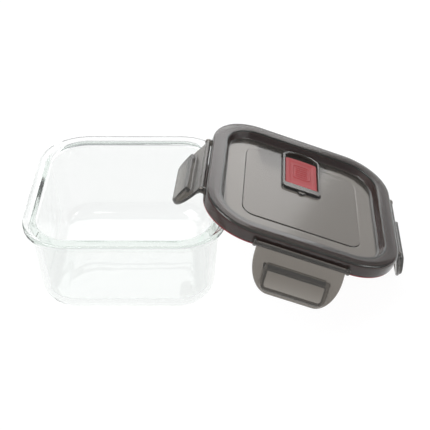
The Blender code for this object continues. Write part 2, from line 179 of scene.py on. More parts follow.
@dataclass
class Shell:
    """A mesh that grows patch by patch, with faces as index lists."""

    points: list[np.ndarray] = field(default_factory=list)
    faces: list[list[int]] = field(default_factory=list)
    flat: list[bool] = field(default_factory=list)
    count: int = 0

    def add_points(self, points: np.ndarray) -> int:
        """Adds points and returns the index of the first."""
        start = self.count
        self.points.append(points.reshape(-1, 3))
        self.count += len(self.points[-1])
        return start

    def add_grid(self, grid: np.ndarray, wrap_rows: bool = False, wrap_columns: bool = True) -> int:
        """Adds a grid of quads.

        Args:
            grid: (m, n, 3) points.
            wrap_rows: joins the last row to the first.
            wrap_columns: joins the last column to the first.

        Returns:
            The index of the grid's first point.
        """
        rows, columns = grid.shape[:2]
        start = self.add_points(grid)
        index = np.arange(rows * columns).reshape(rows, columns) + start
        if wrap_rows:
            index = np.concatenate([index, index[:1]])
        if wrap_columns:
            index = np.concatenate([index, index[:, :1]], 1)
        quads = np.stack([index[:-1, :-1], index[:-1, 1:], index[1:, 1:], index[1:, :-1]], 2).reshape(-1, 4)
        self.faces += quads.tolist()
        self.flat += [False] * len(quads)
        return start

    def add_cap(self, indices: Iterable[int]) -> None:
        """Adds one flat face over a level loop."""
        self.faces.append(list(indices))
        self.flat.append(True)

    def build(self, name: str) -> bpy.types.Object:
        """Makes the Blender object, with its faces turned outwards.

        Args:
            name: the object's name.

        Returns:
            The new object, at the origin.
        """
        mesh = bpy.data.meshes.new(name)
        mesh.from_pydata(np.concatenate(self.points).tolist(), [], self.faces)
        smooth = ~np.array(self.flat)
        mesh.polygons.foreach_set("use_smooth", smooth)
        work = bmesh.new()
        work.from_mesh(mesh)
        bmesh.ops.remove_doubles(work, verts=work.verts, dist=1e-6)
        bmesh.ops.dissolve_degenerate(work, edges=work.edges, dist=1e-7)
        bmesh.ops.recalc_face_normals(work, faces=work.faces)
        work.to_mesh(mesh)
        work.free()
        obj = bpy.data.objects.new(name, mesh)
        bpy.context.collection.objects.link(obj)
        return obj


def closed_prism(name: str, rings: np.ndarray) -> bpy.types.Object:
    """Joins a stack of loops, (m, n, 3), and caps both ends."""
    shell = Shell()
    start = shell.add_grid(rings)
    rows, columns = rings.shape[:2]
    shell.add_cap(range(start, start + columns))
    shell.add_cap(range(start + (rows - 1) * columns, start + rows * columns))
    return shell.build(name)


def combine(target: bpy.types.Object, tools: Sequence[bpy.types.Object], operation: str) -> None:
    """Joins tools to target or cuts them from it, then removes the tools.

    Args:
        target: the piece that is changed.
        tools: closed meshes.
        operation: UNION or DIFFERENCE.
    """
    for tool in tools:
        modifier = target.modifiers.new("combine", "BOOLEAN")
        modifier.operation = operation
        modifier.solver = "EXACT"
        modifier.object = tool
        graph = bpy.context.evaluated_depsgraph_get()
        old = target.data
        target.data = bpy.data.meshes.new_from_object(target.evaluated_get(graph))
        target.modifiers.clear()
        bpy.data.meshes.remove(old)
        target.data.name = target.name
    for tool in tools:
        mesh = tool.data
        bpy.data.objects.remove(tool)
        bpy.data.meshes.remove(mesh)


def carry(obj: bpy.types.Object, matrix: Matrix) -> None:
    """Moves a piece by moving its mesh, so that the object stays at the origin."""
    obj.data.transform(matrix)
    obj.data.update()


def lie_flat(obj: bpy.types.Object, reach: float) -> None:
    """Shades faces flat where they face straight up or down and are wider than reach.

    It comes after crease, which makes every face smooth again.

    Args:
        obj: a piece before it is carried, with its flat faces level.
        reach: the size above which a level face is shaded flat.
    """
    mesh = obj.data
    count = len(mesh.polygons)
    normal, area = np.empty(count * 3), np.empty(count)
    mesh.polygons.foreach_get("normal", normal)
    mesh.polygons.foreach_get("area", area)
    level = (np.abs(normal.reshape(-1, 3)[:, 2]) > 0.9999) & (area > reach * reach)
    smooth = np.empty(count, bool)
    mesh.polygons.foreach_get("use_smooth", smooth)
    mesh.polygons.foreach_set("use_smooth", smooth & ~level)


def crease(obj: bpy.types.Object, degrees: float = 38.0) -> None:
    """Marks edges sharper than an angle, so that smooth shading breaks there."""
    obj.data.set_sharp_from_angle(angle=np.radians(degrees))


# ---------------------------------------------------------------------------------------------------------
# Finishes
# ---------------------------------------------------------------------------------------------------------


class Slot(Enum):
    """The record's material slots."""

    GLASS = "glass"
    LID = "lid_plastic"
    FLAP = "flap_plastic"
    SEAL = "seal"
    VENT = "vent_silicone"


def principled(name: str) -> tuple[bpy.types.Material, bpy.types.Node]:
    """A new material and its Principled node."""
    material = bpy.data.materials.new(name)
    material.use_nodes = True
    return material, material.node_tree.nodes["Principled BSDF"]


def noise_on_object(tree: bpy.types.NodeTree, scale: float, detail: float = 3.0) -> bpy.types.Node:
    """A noise texture on Object coordinates."""
    nodes, links = tree.nodes, tree.links
    place = nodes.new("ShaderNodeTexCoord")
    noise = nodes.new("ShaderNodeTexNoise")
    noise.inputs["Scale"].default_value = scale
    noise.inputs["Detail"].default_value = detail
    links.new(place.outputs["Object"], noise.inputs["Vector"])
    return noise


def add_bump(
    tree: bpy.types.NodeTree, shader: bpy.types.Node, height: bpy.types.NodeSocket, depth: float
) -> bpy.types.Node:
    """Drives a shader's normal from a height.

    Args:
        tree: the material's node tree.
        shader: the Principled node.
        height: a socket from 0 to 1.
        depth: how deep a height of 1 is, in metres.

    Returns:
        The Bump node.
    """
    bump = tree.nodes.new("ShaderNodeBump")
    bump.inputs["Distance"].default_value = depth
    tree.links.new(height, bump.inputs["Height"])
    tree.links.new(bump.outputs["Normal"], shader.inputs["Normal"])
    return bump


def spread(
    tree: bpy.types.NodeTree, source: bpy.types.NodeSocket, low: float, high: float
) -> bpy.types.NodeSocket:
    """Maps 0.3 to 0.7 of a noise onto low to high."""
    node = tree.nodes.new("ShaderNodeMapRange")
    node.inputs["From Min"].default_value = 0.3
    node.inputs["From Max"].default_value = 0.7
    node.inputs["To Min"].default_value = low
    node.inputs["To Max"].default_value = high
    tree.links.new(source, node.inputs["Value"])
    return node.outputs["Result"]


def blend_colours(
    tree: bpy.types.NodeTree, share: bpy.types.NodeSocket, first: Sequence[float], second: Sequence[float]
) -> bpy.types.NodeSocket:
    """A colour between two, by a share from 0 to 1."""
    mix = tree.nodes.new("ShaderNodeMix")
    mix.data_type = "RGBA"
    mix.inputs["A"].default_value = (*first, 1.0)
    mix.inputs["B"].default_value = (*second, 1.0)
    tree.links.new(share, mix.inputs["Factor"])
    return mix.outputs["Result"]


def mottle(
    tree: bpy.types.NodeTree,
    shader: bpy.types.Node,
    colours: Sequence[Sequence[float]],
    cloud: tuple[float, float],
    roughness: tuple[float, float],
    grain: tuple[float, float],
) -> None:
    """Gives a moulded piece its slow drift of colour and its fine drift of gloss and height.

    Args:
        tree: the material's node tree.
        shader: the Principled node.
        colours: the two colours that the cloud drifts between.
        cloud: scale and detail of the drift in colour.
        roughness: lowest and highest roughness.
        grain: scale of the fine grain, and its depth in metres.
    """
    drift = noise_on_object(tree, *cloud)
    share = spread(tree, drift.outputs["Fac"], 0.0, 1.0)
    tree.links.new(blend_colours(tree, share, *colours), shader.inputs["Base Color"])
    fine = noise_on_object(tree, grain[0], 2.0)
    tree.links.new(spread(tree, fine.outputs["Fac"], *roughness), shader.inputs["Roughness"])
    add_bump(tree, shader, fine.outputs["Fac"], grain[1])


def see_through(
    tree: bpy.types.NodeTree,
    shader: bpy.types.Node,
    body: Sequence[float],
    density: float,
    shadow: Sequence[float],
) -> None:
    """Makes a body darker with thickness, and lets a share of the light through its shadow.

    Args:
        tree: the material's node tree.
        shader: the Principled node.
        body: colour that the body turns light towards.
        density: how fast it does so, per metre.
        shadow: share of the light that each surface passes to the shadow.
    """
    output = tree.nodes["Material Output"]
    volume = tree.nodes.new("ShaderNodeVolumeAbsorption")
    volume.inputs["Color"].default_value = (*body, 1.0)
    volume.inputs["Density"].default_value = density
    tree.links.new(volume.outputs["Volume"], output.inputs["Volume"])
    veil = tree.nodes.new("ShaderNodeBsdfTransparent")
    veil.inputs["Color"].default_value = (*shadow, 1.0)
    path = tree.nodes.new("ShaderNodeLightPath")
    mix = tree.nodes.new("ShaderNodeMixShader")
    tree.links.new(path.outputs["Is Shadow Ray"], mix.inputs["Fac"])
    tree.links.new(shader.outputs["BSDF"], mix.inputs[1])
    tree.links.new(veil.outputs["BSDF"], mix.inputs[2])
    tree.links.new(mix.outputs["Shader"], output.inputs["Surface"])


@dataclass(frozen=True)
class PressedGlass:
    """Clear pressed glass: nearly colourless, with the faint waviness that a mould leaves."""

    tint: tuple[float, float, float] = (0.905, 0.915, 0.91)
    ior: float = 1.5
    wave_scale: float = 38.0
    wave_depth: float = 0.00016
    body_colour: tuple[float, float, float] = (0.80, 0.85, 0.82)
    body_density: float = 12.0
    shadow: tuple[float, float, float] = (0.95, 0.965, 0.96)

    def make(self) -> bpy.types.Material:
        """Builds the material."""
        material, shader = principled("pressed_glass")
        tree = material.node_tree
        shader.inputs["Base Color"].default_value = (*self.tint, 1.0)
        shader.inputs["Roughness"].default_value = 0.0
        shader.inputs["IOR"].default_value = self.ior
        shader.inputs["Transmission Weight"].default_value = 1.0
        wave = noise_on_object(tree, self.wave_scale, 1.0)
        add_bump(tree, shader, wave.outputs["Fac"], self.wave_depth)
        see_through(tree, shader, self.body_colour, self.body_density, self.shadow)
        return material


@dataclass(frozen=True)
class SmokyPlastic:
    """Smoky copolyester: see-through grey-brown, darker with thickness, with a soft moulded gloss."""

    name: str
    tint: tuple[float, float, float]
    cloud: tuple[float, float, float]
    transmission: float
    roughness: tuple[float, float]
    ior: float = 1.5
    cloud_pattern: tuple[float, float] = (14.0, 2.0)
    grain_scale: float = 260.0
    grain_depth: float = 0.0000015
    body_colour: tuple[float, float, float] = (0.60, 0.57, 0.54)
    body_density: float = 760.0
    shadow: tuple[float, float, float] = (0.80, 0.79, 0.78)

    def make(self) -> bpy.types.Material:
        """Builds the material."""
        material, shader = principled(self.name)
        tree = material.node_tree
        colours, grain = (self.tint, self.cloud), (self.grain_scale, self.grain_depth)
        mottle(tree, shader, colours, self.cloud_pattern, self.roughness, grain)
        shader.inputs["IOR"].default_value = self.ior
        shader.inputs["Transmission Weight"].default_value = self.transmission
        see_through(tree, shader, self.body_colour, self.body_density, self.shadow)
        return material


@dataclass(frozen=True)
class Silicone:
    """Red silicone rubber: soft sheen, slight colour drift and a fine moulded grain."""

    name: str
    colour: tuple[float, float, float]
    drift: tuple[float, float, float]
    roughness: tuple[float, float] = (0.38, 0.52)
    cloud_pattern: tuple[float, float] = (60.0, 3.0)
    grain_scale: float = 1400.0
    grain_depth: float = 0.00002
    soft_share: float = 0.12
    soft_reach: float = 0.0015

    def make(self) -> bpy.types.Material:
        """Builds the material."""
        material, shader = principled(self.name)
        tree = material.node_tree
        colours, grain = (self.colour, self.drift), (self.grain_scale, self.grain_depth)
        mottle(tree, shader, colours, self.cloud_pattern, self.roughness, grain)
        shader.inputs["Subsurface Weight"].default_value = self.soft_share
        shader.inputs["Subsurface Radius"].default_value = (1.0, 0.15, 0.1)
        shader.inputs["Subsurface Scale"].default_value = self.soft_reach
        return material


# ---------------------------------------------------------------------------------------------------------
# Where the lid lies
# ---------------------------------------------------------------------------------------------------------


@dataclass(frozen=True)
class Hinge:
    """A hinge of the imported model: a point on its axis, the axis, and its lower limit in degrees."""

    point: Vector
    axis: Vector
    low: float

    @staticmethod
    def named(name: str) -> "Hinge":
        """Reads one hinge of the frame by name."""
        joint = next(j for j in frame["joints"] if j["name"] == name)
        return Hinge(Vector(joint["pos_m"]), Vector(joint["axis"]).normalized(), joint["range_deg"][0])


@dataclass
class LidPlace:
    """The lid's own frame, worked out from its hinges.

    The right and left hinges lie at equal distances from the lid's middle, and the back hinge's axis is the
    lid's x axis.
    """

    hinge_drop: float = 7 * MM
    centre: Vector = field(init=False)
    matrix: Matrix = field(init=False)

    def __post_init__(self) -> None:
        """Finds the middle of the lid's top and its axes."""
        left, right = Hinge.named("left_lock_hinge"), Hinge.named("right_lock_hinge")
        x_axis = Hinge.named("back_lock_hinge").axis
        y_axis = left.axis
        z_axis = x_axis.cross(y_axis).normalized()
        self.centre = (left.point + right.point) / 2 + z_axis * self.hinge_drop
        turn = Matrix((x_axis, y_axis, z_axis)).transposed().to_4x4()
        self.matrix = Matrix.Translation(self.centre) @ turn


# ---------------------------------------------------------------------------------------------------------
# The box
# ---------------------------------------------------------------------------------------------------------


@dataclass
class GlassBox:
    """The pressed glass box."""

    rim_half: float = 75 * MM
    corner_centre: float = 37.5 * MM
    rim_band: float = 10 * MM
    overhang: float = 5.4 * MM
    rim_depth: float = 5.7 * MM
    taper: float = 4 * MM
    base_round: float = 19 * MM
    base_thickness: float = 4.5 * MM
    floor_round: float = 15 * MM
    height: float = field(init=False)

    def __post_init__(self) -> None:
        """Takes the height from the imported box."""
        low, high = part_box("glass_box")
        self.height = high[2] - low[2]

    def profile(self) -> np.ndarray:
        """Under the base, up the wall, over the rim and down the inside to the floor."""
        wall = self.rim_half - self.overhang
        base = wall - self.taper
        opening = self.rim_half - self.rim_band
        floor = opening - self.taper
        foot = self.height - self.rim_depth
        top, inside = self.height, self.base_thickness
        support = 0.6 * MM
        return filleted(
            [
                (base - self.base_round - support, 0, 0),
                (base, 0, self.base_round),
                (wall, foot, 2.2 * MM),
                (self.rim_half, foot + 0.4 * MM, 1.9 * MM),
                (self.rim_half, top, 2.0 * MM),
                (opening, top, 2.4 * MM),
                (floor, inside, self.floor_round),
                (floor - self.floor_round - support, inside, 0),
            ],
            14,
        )

    def make(self) -> bpy.types.Object:
        """Builds the glass."""
        grid = RoundedSquare(self.corner_centre, 26, 10).sweep(self.profile())
        box = closed_prism("fine_glass_box", grid)
        box.data.materials.append(PressedGlass().make())
        crease(box)
        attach(box, "box")
        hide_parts("glass_box")
        return box


# ---------------------------------------------------------------------------------------------------------
# The lid
# ---------------------------------------------------------------------------------------------------------


@dataclass
class Vent:
    """The vent's pocket, frame and finger well, in the lid's frame."""

    half: float = 14 * MM
    near: float = 10.3 * MM
    length: float = 40.7 * MM
    arch: float = 8.2 * MM
    frame: float = 2.5 * MM
    frame_near: float = 7.1 * MM
    frame_corner: float = 4.2 * MM
    floor: float = -7.2 * MM
    top: float = -3.8 * MM
    panel: float = -8.6 * MM
    well_depth: float = 1.4 * MM
    well_length: float = 7 * MM
    well_wall: float = 1.8 * MM
    axis_y: float = 11.6 * MM
    axis_z: float = -5.9 * MM
    flap_length: float = 38.4 * MM
    bearing: float = 1.0 * MM
    hole_radius: float = 3.2 * MM
    hole_at: float = 20 * MM
    bump_radius: float = 3.4 * MM
    bump_drop: float = 0.9 * MM

    def outline(self, grow: float, near: float, corner: float, steps: int = 14) -> np.ndarray:
        """The U-shaped outline with an arched far end.

        The near corners are quarter circles and the far end half an ellipse.

        Args:
            grow: how far the sides and the arch stand out from the pocket.
            near: how far the near edge stands out from the pocket.
            corner: radius of the two near corners.
            steps: segments in a quarter turn.

        Returns:
            An (n, 2) array, anticlockwise.
        """
        half, front = self.half + grow, self.near - near
        quarter = np.linspace(0, np.pi / 2, steps + 1)
        across, along = corner - corner * np.cos(quarter), corner - corner * np.sin(quarter)
        left = np.stack([-half + across, front + along], 1)
        right = left[::-1] * [-1, 1]
        turn = np.linspace(0, np.pi, 4 * steps + 1)
        far = np.stack([half * np.cos(turn), self.near + self.length + (self.arch + grow) * np.sin(turn)], 1)
        return np.concatenate([left, right, far])

    def stack(
        self, levels: Sequence[tuple[float, float]], grow: float, near: float, corner: float
    ) -> np.ndarray:
        """Outlines at several heights.

        Args:
            levels: (extra growth, height) for each outline.
            grow: the sides' growth at the first level.
            near: the near edge's growth at the first level.
            corner: radius of the near corners.

        Returns:
            An (m, n, 3) grid.
        """
        rings = []
        for extra, z in levels:
            flat = self.outline(grow + extra, near + extra, max(corner + extra, 0.2 * MM))
            rings.append(at_height(flat, z))
        return np.stack(rings)

    def raised_parts(self) -> list[bpy.types.Object]:
        """The frame, the half-round bump at its near edge and the cup under the finger well."""
        edge, foot_round, foot_z = 0.8 * MM, 1.0 * MM, -6.15 * MM
        root = self.panel + 0.4 * MM
        turn = np.linspace(0, np.pi / 2, 6)
        foot = [(foot_round * (1 - np.sin(t)), foot_z + foot_round * (1 - np.cos(t))) for t in turn]
        crown = [(-edge * (1 - np.cos(t)), self.top - edge * (1 - np.sin(t))) for t in turn]
        base = [(foot_round, root)]
        frame_part = closed_prism(
            "frame", self.stack(base + foot + crown, self.frame, self.frame_near, self.frame_corner)
        )
        bump_top = self.top - self.bump_drop
        levels = [(self.bump_radius, root), (self.bump_radius, bump_top - edge)]
        for t in turn[1:]:
            levels.append((self.bump_radius - edge * (1 - np.cos(t)), bump_top - edge * (1 - np.sin(t))))
        middle = np.array([0, self.near - self.frame_near])
        bump = closed_prism("bump", np.stack([at_height(full_circle(40) * r + middle, z) for r, z in levels]))
        cup = self.cup_outline(self.frame, self.well_wall)
        low = self.floor - self.well_depth - self.well_wall
        rings = [at_height(cup, z) for z in (low, root)]
        return [frame_part, bump, closed_prism("cup", np.stack(rings))]

    def cup_outline(self, grow: float, back: float) -> np.ndarray:
        """The finger well's outline: the pocket's far end, from under the flap to the arch."""
        start = self.axis_y + self.flap_length - self.well_length - back
        half = self.half + grow
        turn = np.linspace(0, np.pi, 41)
        far = np.stack([half * np.cos(turn), self.near + self.length + (self.arch + grow) * np.sin(turn)], 1)
        return np.concatenate([[[-half, start], [half, start]], far])

    def cutters(self) -> list[bpy.types.Object]:
        """The pocket with its rounded mouth, the finger well, the steam hole and the flap's bearings."""
        lip = 0.6 * MM
        turn = np.linspace(0, np.pi / 2, 5)
        mouth = [(lip * (1 - np.cos(t)), self.top - lip + lip * np.sin(t)) for t in turn]
        levels = [(0.0, self.floor)] + mouth + [(lip, 1 * MM)]
        pocket = closed_prism("pocket", self.stack(levels, 0, 0, 0.6 * MM))
        well = self.cup_outline(0, 0)
        slope = 0.9 * MM
        middle = np.array([0, self.near + self.length + 1.5 * MM])
        rings = []
        bottom, bend, mouth_top = self.floor - self.well_depth, self.floor - 0.3 * MM, self.floor + 0.2 * MM
        for shrink, z in ((slope, bottom), (0.0, bend), (0.0, mouth_top)):
            flat = middle + (well - middle) * (1 - shrink / self.half)
            rings.append(at_height(flat, z))
        around = full_circle(40)
        ring = around * self.hole_radius + [0, self.axis_y + self.hole_at]
        hole = np.stack([at_height(ring, z) for z in (self.panel - 1 * MM, mouth_top)])
        socket = around * self.bearing + [self.axis_y, self.axis_z]
        reach = self.half + 1.2 * MM
        bearing = np.stack([at_x(socket, x) for x in (-reach, reach)])
        return [
            pocket,
            closed_prism("well", np.stack(rings)),
            closed_prism("hole", hole),
            closed_prism("bearing", bearing),
        ]


@dataclass
class LidShell:
    """The moulded lid: panel with its pad, raised band, skirt, seal groove, hinge lugs and vent."""

    place: LidPlace
    half: float = 77 * MM
    corner_centre: float = 37.5 * MM
    band: float = 11.8 * MM
    recess: float = 6.6 * MM
    draft: float = 2.6 * MM
    panel: float = 2 * MM
    pad_half: float = 47 * MM
    pad_rise: float = 0.5 * MM
    skirt: float = 9.9 * MM
    skirt_wall: float = 1.8 * MM
    roof: float = 2.6 * MM
    plug: float = 12.2 * MM
    plug_half: float = 64.3 * MM
    plug_wall: float = 1.9 * MM
    hinge_out: float = 79.5 * MM
    hinge_drop: float = 7 * MM
    lug_start: float = 34.4 * MM
    lug_thickness: float = 2.4 * MM
    lug_radius: float = 2.6 * MM
    bore: float = 1.6 * MM

    def profile(self) -> np.ndarray:
        """From the pad over the raised band, down the skirt, round the groove and under the panel."""
        inner = self.half - self.band
        floor = inner - self.draft
        groove = self.half - self.skirt_wall
        under = self.recess + self.panel
        support = 0.6 * MM
        return filleted(
            [
                (self.pad_half - 1.2 * MM - support, self.pad_rise - self.recess, 0),
                (self.pad_half - 0.1 * MM, self.pad_rise - self.recess, 0.45 * MM),
                (self.pad_half + 0.5 * MM, -self.recess - 0.12 * MM, 0.4 * MM),
                (self.pad_half + 1.7 * MM, -self.recess, 0.8 * MM),
                (floor + 0.3 * MM, -self.recess, 1.7 * MM),
                (inner, -0.15 * MM, 1.1 * MM),
                (self.half - 5.6 * MM, 0.25 * MM, 8 * MM),
                (self.half - 0.1 * MM, -0.5 * MM, 2.6 * MM),
                (self.half, -self.skirt, 0.35 * MM),
                (groove, -self.skirt, 0.35 * MM),
                (groove, -self.roof, 0.5 * MM),
                (inner + self.plug_wall, -self.roof, 0.5 * MM),
                (self.plug_half, -under, 0.8 * MM),
                (self.plug_half, -self.plug, 0.5 * MM),
                (self.plug_half - self.plug_wall, -self.plug, 0.5 * MM),
                (self.plug_half - self.plug_wall, -under, 1.2 * MM),
                (self.plug_half - self.plug_wall - 4 * MM, -under, 0),
            ],
            6,
        )

    def lug(self, side: int) -> np.ndarray:
        """One hinge lug across the back edge: a round-nosed section carried along x, eased at both ends."""
        root = self.half - 0.5 * MM
        around = np.linspace(-np.pi / 2, np.pi / 2, 17)
        nose = round_trip(around)
        axis = [self.hinge_out, -self.hinge_drop]
        rings = []
        ease = 0.5 * MM
        for x, shrink in (
            (0.0, ease),
            (0.15 * MM, 0.2 * MM),
            (ease, 0.0),
            (self.lug_thickness - ease, 0.0),
            (self.lug_thickness - 0.15 * MM, 0.2 * MM),
            (self.lug_thickness, ease),
        ):
            radius = self.lug_radius - shrink
            low, high = [root, -self.hinge_drop - radius], [root, -self.hinge_drop + radius]
            section = np.concatenate([[low], nose * radius + axis, [high]])
            rings.append(at_x(section, side * (self.lug_start + x)))
        return np.stack(rings)

    def lugs_and_bores(self) -> tuple[bpy.types.Object, bpy.types.Object]:
        """All eight lugs as one mesh, and the eight pin holes as another."""
        lugs, bores = Shell(), Shell()
        circle = full_circle(32) * self.bore
        circle = circle + [self.hinge_out, -self.hinge_drop]
        spare = 1 * MM
        for quarter in np.arange(4) * np.pi / 2:
            cos, sin = np.cos(quarter), np.sin(quarter)
            turn = np.array([[cos, -sin, 0], [sin, cos, 0], [0, 0, 1]])
            for side in (-1, 1):
                reach = self.lug_start + self.lug_thickness + spare
                ends = [side * (self.lug_start - spare), side * reach]
                bore = np.stack([at_x(circle, x) for x in ends])
                for shell, rings in ((lugs, self.lug(side)), (bores, bore)):
                    rows, columns = rings.shape[:2]
                    start = shell.add_grid(rings @ turn.T)
                    shell.add_cap(range(start, start + columns))
                    shell.add_cap(range(start + (rows - 1) * columns, start + rows * columns))
        return lugs.build("lugs"), bores.build("bores")

    def make(self) -> bpy.types.Object:
        """Builds the lid where it lies."""
        grid = RoundedSquare(self.corner_centre, 24, 10).sweep(self.profile())
        lid = closed_prism("fine_lid_shell", grid)
        vent = Vent()
        combine(lid, vent.raised_parts(), "UNION")
        combine(lid, vent.cutters(), "DIFFERENCE")
        lugs, bores = self.lugs_and_bores()
        combine(lid, [lugs], "UNION")
        combine(lid, [bores], "DIFFERENCE")
        crease(lid, 34)
        lie_flat(lid, 0.3 * MM)
        carry(lid, self.place.matrix)
        lid.data.materials.clear()
        lid.data.materials.append(LID_FINISH.make())
        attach(lid, "lid")
        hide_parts("lid_shell")
        return lid


@dataclass
class SealRing:
    """The silicone seal: it fills the lid's groove, with a slot from below that leaves two soft lips."""

    place: LidPlace
    corner_centre: float = 37.5 * MM
    outer: float = 74.9 * MM
    flange: float = 76.6 * MM
    inner_top: float = 67.7 * MM
    inner: float = 64.9 * MM
    top: float = -2.9 * MM
    ledge: float = -10.2 * MM
    knee: float = -8.6 * MM
    bottom: float = -11.1 * MM
    slot_half: float = 0.8 * MM
    slot_top: float = -7.1 * MM

    def profile(self) -> np.ndarray:
        """The closed section: a body in the groove, a flange under the skirt, and a slot from below."""
        middle = (self.outer + self.inner) / 2
        return filleted(
            [
                (middle, self.top, 0),
                (self.outer, self.top, 0.6 * MM),
                (self.outer, self.ledge, 0.2 * MM),
                (self.flange, self.ledge, 0.3 * MM),
                (self.flange, self.bottom, 0.4 * MM),
                (middle + self.slot_half, self.bottom, 0.7 * MM),
                (middle + self.slot_half, self.slot_top, 0.7 * MM),
                (middle - self.slot_half, self.slot_top, 0.7 * MM),
                (middle - self.slot_half, self.bottom, 0.7 * MM),
                (self.inner, self.bottom, 0.8 * MM),
                (self.inner, self.knee, 0.8 * MM),
                (self.inner_top, self.top, 0.5 * MM),
                (middle - 0.5 * MM, self.top, 0),
            ],
            6,
        )

    def make(self) -> bpy.types.Object:
        """Builds the seal where it lies."""
        shell = Shell()
        shell.add_grid(RoundedSquare(self.corner_centre, 24, 8).sweep(self.profile()), wrap_rows=True)
        seal = shell.build("fine_seal_ring")
        carry(seal, self.place.matrix)
        crease(seal)
        seal.data.materials.append(SEAL_FINISH.make())
        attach(seal, "lid")
        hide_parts("seal_ring")
        return seal


# ---------------------------------------------------------------------------------------------------------
# Flaps
# ---------------------------------------------------------------------------------------------------------


def slab(name: str, x: np.ndarray, z: np.ndarray, front: np.ndarray, back: np.ndarray) -> bpy.types.Object:
    """A closed plate between two height fields over one grid.

    Both faces use the same (x, z) points, and their borders are joined by one strip of faces all round.

    Args:
        name: the object's name.
        x: (m, n) places along the plate's width.
        z: (m, n) places along its length.
        front: (m, n) heights of the outer face, along y.
        back: (m, n) heights of the inner face.

    Returns:
        The new object.
    """
    shell = Shell()
    rows, columns = x.shape
    first = shell.add_grid(np.stack([x, front, z], 2), wrap_columns=False)
    second = shell.add_grid(np.stack([x, back, z], 2), wrap_columns=False)
    index = np.arange(rows * columns).reshape(rows, columns)
    border = np.concatenate([index[0, :-1], index[:-1, -1], index[-1, :0:-1], index[:0:-1, 0]])
    following = np.roll(border, -1)
    strip = np.stack([border + first, following + first, following + second, border + second], 1)
    shell.faces += strip.tolist()
    shell.flat += [False] * len(strip)
    return shell.build(name)


def bunched(count: int, reach: float) -> np.ndarray:
    """Numbers from -1 to 1 that crowd towards both ends, by a share of a sine."""
    t = np.linspace(-1, 1, count)
    return (1 - reach) * t + reach * np.sin(t * np.pi / 2)


